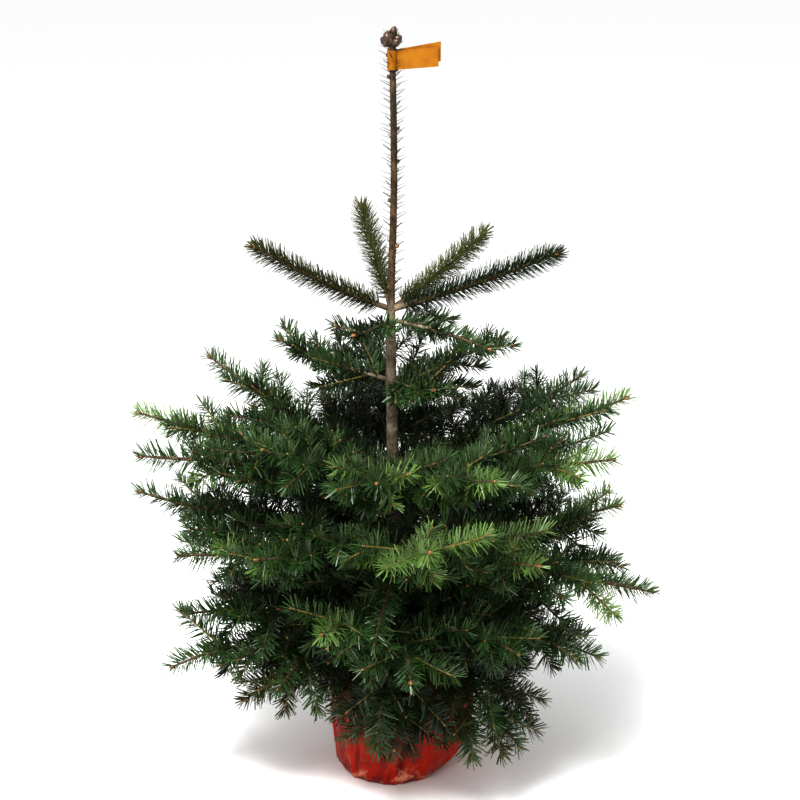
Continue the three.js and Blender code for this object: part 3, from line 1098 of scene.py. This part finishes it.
def brush(name, chosen, seed, fill=needle_points):
    """Needles on the chosen shoots. fill(shoot, rows) says where a shoot's points are."""
    rows = {key: [] for key in ("co", "over", *NUMBERS)}
    edges = []
    for shoot in chosen:
        first = len(rows["co"])
        fill(shoot, rows)
        edges += [(i, i + 1) for i in range(first, len(rows["co"]) - 1)]
    mesh = bpy.data.meshes.new(name + "_carrier")
    mesh.from_pydata([tuple(p) for p in rows["co"]], edges, [])
    store(mesh, "over", rows["over"], "FLOAT_VECTOR")
    for key in NUMBERS:
        store(mesh, key, rows[key], "INT" if key == "tint" else "FLOAT")
    values = {"Spacing": SPACING * THINNED, "Width": NEEDLE_WIDTH, "Seed": seed}
    values["Straight"], values["Bent"] = STRAIGHT, BENT
    for tint, (top, under) in zip(TINTS, NEEDLE_FINISHES):
        values[f"Top {tint}"], values[f"Under {tint}"] = top, under
    return grown(name, mesh, BRUSH, values)


print("a brush takes shoots and a seed")


# %% All needles of the crown
def dealt(chosen_sprays, most):
    """Sprays in groups whose needles stay under the most that one piece may hold."""
    groups, count = [[]], 0.0
    for spray in chosen_sprays:
        need = sum(lengths(s["path"])[-1] / SPACING for s in shoots if s["spray"] == spray)
        if groups[-1] and count + need > most:
            groups.append([])
            count = 0.0
        groups[-1].append(spray)
        count += need
    return groups


needle_pieces = []
for whorls in (("top", "crest", "inner"), ("upper",), ("middle",), ("lower",), ("skirt",)):
    members = [s for s in sprays if s.split("_")[0] in whorls]
    for number, group in enumerate(dealt(members, MOST_NEEDLES), start=1):
        chosen = [s for s in shoots if s["spray"] in group]
        made = brush(f"needles_{whorls[0]}_{number}", chosen, 31 * len(needle_pieces) + 7)
        needle_pieces.append((made, group))
        print(made.name, len(group), "sprays,", triangles(made), "triangles")
print("needles in all:", sum(triangles(made) for made, _ in needle_pieces) // 8)

# %% [markdown]
# ## The leader
#
# The year's new leader is bare wood with thin, short needles that stand out all round and point a
# little up, and a tuft of them at its tip, among the buds. Its carrier is the trunk's own line, so
# the needles are as long as the wood is thick plus what shows.

# %% Needles on the leader
LEADER_NEEDLE = 18 * MM
LEADER_FIRST = LEADER_FOOT + 14 * MM
LEADER_SHARE = 3.0  # the leader's needles stand this much wider apart
LEADER_WIDE = 1.1
TUFT = 9 * MM  # at its tip they stand close for this length
TUFT_NEEDLE = 12 * MM


def leader_points(part, rows):
    low, high, reach, lean, apart, tint = part
    for z in map(float, np.arange(low, high, 3 * MM)):
        here = reach + trunk_radius(z)
        add_point(rows, trunk_at(z), (0, -1, 0), here, 1.0, lean, LEADER_WIDE, apart, tint)


parts = [
    (LEADER_FIRST, leader_top - TUFT, LEADER_NEEDLE, 1.24, LEADER_SHARE, GREY),
    (leader_top - TUFT, leader_top + 2 * MM, TUFT_NEEDLE, 0.75, 0.4, OLIVE),
]
leader_needles = brush("leader_needles", parts, 901, fill=leader_points)
print("leader_needles:", triangles(leader_needles) // 8)

# %% [markdown]
# ## Buds
#
# Each shoot ends in a bud with one or two beside it, brown and resinous. The leader ends in the
# largest cluster, and smaller buds sit along it. They repeat, so they too are grown by a small tree:
# one bud shape, placed where the carrier has a point, aimed and sized by the point.


# %% Geometry Nodes: buds
BUD_SIDES = 5
BUD_PROFILE = ((0.0, 0.3), (0.3, 0.48), (0.7, 0.38), (0.96, 0.1))  # along a bud, and its radius


def bud_shape():
    angles = [math.pi * k / (BUD_SIDES / 2) for k in range(BUD_SIDES)]
    rings = [[Vector((x, r * math.cos(a), r * math.sin(a))) for a in angles] for x, r in BUD_PROFILE]
    return shape_only(skinned("bud_shape", rings, BUD))


def bud_tree():
    tree, graph, given = new_tree("Buds", {"Bud": "Object", "Seed": "Int", "Finish": "Material"})
    aim = {0: stored(graph, "aim", "FLOAT_VECTOR")}
    long = stored(graph, "reach")
    wide = long * chance(graph, given["Seed"], 0.9, 1.15)
    body = set_out(graph, given["Geometry"], shape_of(graph, given["Bud"]), aim, long, wide)
    graph.node("NodeGroupOutput", None, {0: coat(graph, body, given["Finish"])})
    return tree


BUD_SHAPE = bud_shape()
BUDS = bud_tree()


def buds(name, rows, seed):
    """rows are (place, aim, length)."""
    mesh = bpy.data.meshes.new(name + "_carrier")
    mesh.from_pydata([tuple(place) for place, _, _ in rows], [], [])
    store(mesh, "aim", [c for _, aim, _ in rows for c in aim], "FLOAT_VECTOR")
    store(mesh, "reach", [size for _, _, size in rows])
    return grown(name, mesh, BUDS, {"Bud": BUD_SHAPE, "Seed": seed, "Finish": BUD})


print("bud tree:", len(BUDS.nodes), "nodes")

# %% Buds on every shoot
sit = random.Random(77)
rows = []
for shoot in shoots:
    tip, before = shoot["path"][-1], shoot["path"][-2]
    ahead = (tip - before).normalized()
    side = ahead.cross(Vector(shoot["over"])).normalized()
    size = (sit.uniform(6, 7.5) if shoot["order"] == 0 else sit.uniform(3.2, 4.8)) * MM
    if shoot["spray"].startswith("top"):
        size *= 1.4
    rows.append((tip - ahead * 1.0 * MM, ahead, size))
    for turn in (-1, 1):
        if sit.random() < (0.95 if shoot["order"] == 0 else 0.6):
            lift = Vector(shoot["over"]) * sit.uniform(-0.2, 0.4)
            aim = (ahead + side * turn * 0.8 + lift).normalized()
            rows.append((tip - ahead * 2.2 * MM, aim, size * sit.uniform(0.7, 0.9)))
shoot_buds = buds("shoot_buds", rows, 5)
print("shoot_buds:", len(rows), "buds,", triangles(shoot_buds), "triangles")

# %% Buds on the leader
CLUSTER = 9
SIDE_BUDS = ((1.149, 175), (1.128, 10), (1.118, 190), (1.04, 0), (0.99, 20), (0.93, 160), (0.86, 350))
crown = trunk_at(leader_top - 1 * MM)
rows = [
    (crown, UP, 15 * MM),
    (crown + UP * 8 * MM, Vector((0.35, -0.3, 1)).normalized(), BUD_KNOB - 7 * MM),
]
for k in range(CLUSTER):
    out = outward(TURN * k / CLUSTER + 0.4)
    aim = (out * sit.uniform(0.8, 2.2) + UP).normalized()
    rows.append((crown + out * 3 * MM - UP * sit.uniform(0, 6) * MM, aim, sit.uniform(12, 18) * MM))
for height, degrees in SIDE_BUDS:
    out = outward(math.radians(degrees))
    base = trunk_at(height) + out * trunk_radius(height) * 0.8
    rows.append((base, (out + UP * 0.9).normalized(), sit.uniform(6, 8) * MM))
leader_buds = buds("leader_buds", rows, 9)
print("leader_buds:", len(rows), "buds,", triangles(leader_buds), "triangles")

# %% [markdown]
# ## The pot in its red film
#
# The film is gathered round a nursery pot: slack at the sides, pleated where it narrows, and crumpled at
# the ground. Cloth simulation could fold it, but a rule says where each pleat runs. Rays from outside
# give the frame's pot at every angle and height; the pleats are long slanting ridges added to that, each
# with its own course, depth and width. How far the film stands out is stored as `fold`, and from it the
# finish paints a lighter red on a ridge as painted highlight and a darker red in a groove as painted
# shade.

# %% The pot's wall, read from the frame
POT_LOW, POT_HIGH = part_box("pot")
SOIL_LOW, SOIL_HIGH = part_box("soil")
FILM_STEPS = 240
RAY_ROWS = 20
BLUR = 9  # the CAD wall's flats are smoothed over this many steps to each side
pot_solid = BVHTree.FromPolygons(*solid_of("pot"))


def pot_radius(angle, height):
    out = outward(angle)
    hit = pot_solid.ray_cast(out * 0.3 + UP * height, -out)[0]
    return hit.to_2d().length


even = np.linspace(0, TURN, FILM_STEPS, endpoint=False)
ray_levels = np.linspace(POT_LOW.z + 2 * MM, POT_HIGH.z - 2 * MM, RAY_ROWS)
measured = np.array([[pot_radius(a, z) for a in even[::2]] for z in ray_levels])
measured = np.repeat(measured, 2, axis=1)
window = np.hanning(2 * BLUR + 1)
wrapped = np.concatenate([measured[:, -BLUR:], measured, measured[:, :BLUR]], axis=1)
smoothed = np.array([np.convolve(row, window / window.sum(), mode="valid") for row in wrapped])
print("pot wall:", round(float(smoothed.min()), 3), "to", round(float(smoothed.max()), 3), "m in radius")

# %% The film's folds
FILM_ROWS = 48
PLEATS = 44
RIM_THICK = 5 * MM
HEM = 4 * MM  # the film turns under by this much where the pot stands
FLAT_FOLD = 0.5  # the stored fold where the film neither stands out nor sinks in
pleat_draw = random.Random(404)
pleats = [
    {
        "at": pleat_draw.uniform(0, TURN),
        "slant": pleat_draw.uniform(-4, 4),
        "bow": pleat_draw.uniform(-14, 14),
        "height": pleat_draw.uniform(0.0, 0.2),
        "long": pleat_draw.uniform(0.05, 0.14),
        "wide": pleat_draw.uniform(4, 13) * MM,
        "deep": pleat_draw.choice((1, 1, -1)) * pleat_draw.uniform(1.6, 5.4) * MM,
    }
    for _ in range(PLEATS)
]


def film_radius(column, height):
    """The film's outer radius, pleats and crumples included, and how far it stands out there, which the
    finish turns into painted shade and highlight.
    """
    angle = float(even[column])
    wall = radius = float(np.interp(height, ray_levels, smoothed[:, column]))
    for fold in pleats:
        above = height - fold["height"]
        up = above / fold["long"]
        if abs(up) < 2:
            course = fold["at"] + fold["slant"] * above + fold["bow"] * above**2
            off = angle_between(angle, course) * radius / fold["wide"]
            if abs(off) < 1:
                radius += fold["deep"] * (1 - abs(off)) * math.exp(-up * up)
    at = outward(angle) * radius + UP * height
    slack = noise.fractal(at * 14, 1.0, 2.0, 3) * 2.2 * MM
    crumple = noise.ridged_multi_fractal(at * 34, 1.0, 2.1, 3, 1.0, 2.0) - 1.0
    crumple *= (0.7 + 1.6 * math.exp(-height / 0.02)) * MM
    # how far the film stands out: the finish paints grooves darker as painted shade and ridges lighter as
    # painted highlight
    stands_out = (radius - wall + crumple) / (6 * MM) + FLAT_FOLD
    return radius + slack + crumple, stands_out


rings, fold_shading = [], []
for z in map(float, np.linspace(POT_LOW.z, POT_HIGH.z, FILM_ROWS)):
    hem = math.exp(-z / (3 * MM)) * HEM
    ring = []
    for column, angle in enumerate(even):
        radius, stands_out = film_radius(column, z)
        ring.append(outward(angle) * (radius - hem) + UP * z)
        fold_shading.append(stands_out)
    rings.append(ring)
top_ring = rings[-1]
for point in top_ring:
    point.z += noise.noise(Vector((point.x, point.y, 0)) * 30) * 4 * MM
for drop, inward in ((0, 0.5), (0, 1), (8 * MM, 1), (20 * MM, 1), (40 * MM, 1)):
    rings.append([])
    for p in top_ring:
        flat = Vector((p.x, p.y, 0))
        rings[-1].append(flat * (1 - inward * RIM_THICK / flat.length) + UP * (p.z - drop))
pot_film = skinned("pot_film", rings, FILM)
# the fold attribute carries the film's painted shade and highlight
store(pot_film.data, "fold", fold_shading + [FLAT_FOLD] * (len(pot_film.data.vertices) - len(fold_shading)))
print("pot_film:", triangles(pot_film), "triangles")

# %% [markdown]
# ## Compost
#
# The compost is a crumbly disc inside the film. It only shows between the lowest sprays, so its
# lumps are relief in the disc.

# %% The compost
COMPOST_RINGS = 26
COMPOST_SIDES = 96
COMPOST_DEEP = 30 * MM
edge = (SOIL_HIGH - SOIL_LOW).x / 2 - 2 * MM
rings = []
for k in range(COMPOST_RINGS + 1):
    radius = max(edge * (1 - k / COMPOST_RINGS), 1 * MM)
    ring = []
    for side in range(COMPOST_SIDES):
        at = outward(TURN * side / COMPOST_SIDES) * radius
        lump = noise.fractal(at * 60, 1.0, 2.0, 4) * 3.2 * MM - 2 * MM
        ring.append(at + UP * (SOIL_HIGH.z + lump))
    rings.append(ring)
rings.insert(0, [Vector((p.x, p.y, SOIL_HIGH.z - COMPOST_DEEP)) for p in rings[0]])
compost = skinned("compost", rings, COMPOST)
print("compost:", triangles(compost), "triangles")

# %% [markdown]
# ## The label
#
# The label is one plastic strip folded round the leader: a loop, and two tails that lie nearly together
# and climb outwards, the back one a little more than the front one. It is swept along one given line seen
# from above, which keeps its edges upright; the print is left off.

# %% The label band
TAG_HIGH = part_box("label_band")[1]
TAG_WIDTH = 29 * MM
TAG_THICK = 0.45 * MM
TAG_TURN = math.radians(-12)
TAG_HEIGHT = 1.144
LOOP = 7.6 * MM  # the loop's radius
LOOP_START = math.radians(16)
tag_middle = trunk_at(TAG_HEIGHT)
tag_reach = (TAG_HIGH.x - tag_middle.x) / math.cos(TAG_TURN) - 2 * MM


def tail(sign, climb, reach):
    """One tail from its end to the loop: (x, y, rise) in the band's own plane."""
    stations = map(float, np.linspace(reach, LOOP * 1.1, 12))
    return [(x, sign * (1 + 1.6 * math.sin(x / reach * 3)) * MM, x * climb) for x in stations]


loop = [
    (LOOP * math.cos(a), LOOP * math.sin(a), LOOP * (0.12 + 0.08 * math.cos(a / 2)))
    for a in np.linspace(LOOP_START, TURN - LOOP_START, 26)
]
line = tail(1, 0.2, tag_reach) + loop + tail(-1, 0.1, tag_reach * 0.96)[::-1]
turned = Matrix.Rotation(TAG_TURN, 3, "Z")
rings = []
for i, (x, y, rise) in enumerate(line):
    before, after = line[max(i - 1, 0)], line[min(i + 1, len(line) - 1)]
    along = Vector((after[0] - before[0], after[1] - before[1], 0)).normalized()
    across = Vector((along.y, -along.x, 0)) * TAG_THICK / 2
    half = UP * TAG_WIDTH / 2
    middle = Vector((x, y, rise))
    ring = [middle + p for p in (-across - half, across - half, across + half, half - across)]
    rings.append([turned @ p + tag_middle for p in ring])
label_band = skinned("label_strip", rings, LABEL, smooth=False)
print("label_strip:", triangles(label_band), "triangles")

# %% [markdown]
# ## Handing the pieces to the frame
#
# Each piece is tied to the body it moves with, and the nodes of the frame that it stands for are hidden.
# A spray's solid is replaced by its needles and its shoots.


# %% What each piece replaces
def hand_in(made, nodes):
    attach(made, "root")
    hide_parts(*nodes)


bough_nodes = [name for name in NODES if "_bough_" in name]
for made, group in needle_pieces:
    hand_in(made, group)
hand_in(leader_needles, ["trunk"])
hand_in(trunk_bark, ["trunk"])
hand_in(bough_bark, [*bough_nodes, *sprays])
for made in wood_pieces:
    hand_in(made, sprays)
hand_in(shoot_buds, sprays)
hand_in(leader_buds, ["trunk"])
hand_in(pot_film, ["pot"])
hand_in(compost, ["soil"])
hand_in(label_band, ["label_band"])
print("pieces handed in")

# %% [markdown]
# ## The studio
#
# The plant stands on a pale floor that runs to a pale wall of light. A large soft light hangs above
# and in front, to the left, so the upper sides of the sprays are bright and the crown's inside stays
# dark.

# %% Floor, light and camera
scene = bpy.context.scene
FLOOR_LOOK = {"Base Color": (0.9, 0.9, 0.9, 1), "Roughness": 0.9, "Specular IOR Level": 0.1}
FLOOR_HALF = 60
WALL_LIGHT = 1.08
LENS, SENSOR = 91.35, 36  # the camera's, in millimetres
CAMERA, CAMERA_AIM = (-0.003, -3.05, 1.50), (-0.003, 0, 0.616)
corners = [(x * FLOOR_HALF, y * FLOOR_HALF, 0) for x, y in ((-1, -1), (1, -1), (1, 1), (-1, 1))]
floor = piece("floor", corners, [(0, 1, 2, 3)], finish("studio floor", FLOOR_LOOK), smooth=False)

world = bpy.data.worlds.new("studio")
world.use_nodes = True
world.node_tree.nodes["Background"].inputs["Color"].default_value = (1, 1, 1, 1)
world.node_tree.nodes["Background"].inputs["Strength"].default_value = WALL_LIGHT
scene.world = world


def aimed(name, data, place, aim):
    made = show(name, data)
    made.location = place
    made.rotation_euler = (Vector(aim) - Vector(place)).to_track_quat("-Z", "Y").to_euler()
    return made


def area_light(name, place, aim, size, power):
    light = bpy.data.lights.new(name, "AREA")
    light.shape, light.size, light.energy = "DISK", size, power
    aimed(name, light, place, aim)


area_light("overhead", (-0.7, -1.5, 3.2), (0, 0, 0.6), 1.4, 185)
area_light("front", (-1.6, -3.2, 1.8), (0, 0, 0.5), 1.2, 44)

camera = bpy.data.cameras.new("main")
camera.lens, camera.sensor_width = LENS, SENSOR
scene.camera = aimed("main", camera, CAMERA, CAMERA_AIM)
scene.view_settings.view_transform = "Standard"
scene.view_settings.gamma = 0.69
print("camera and light are set")
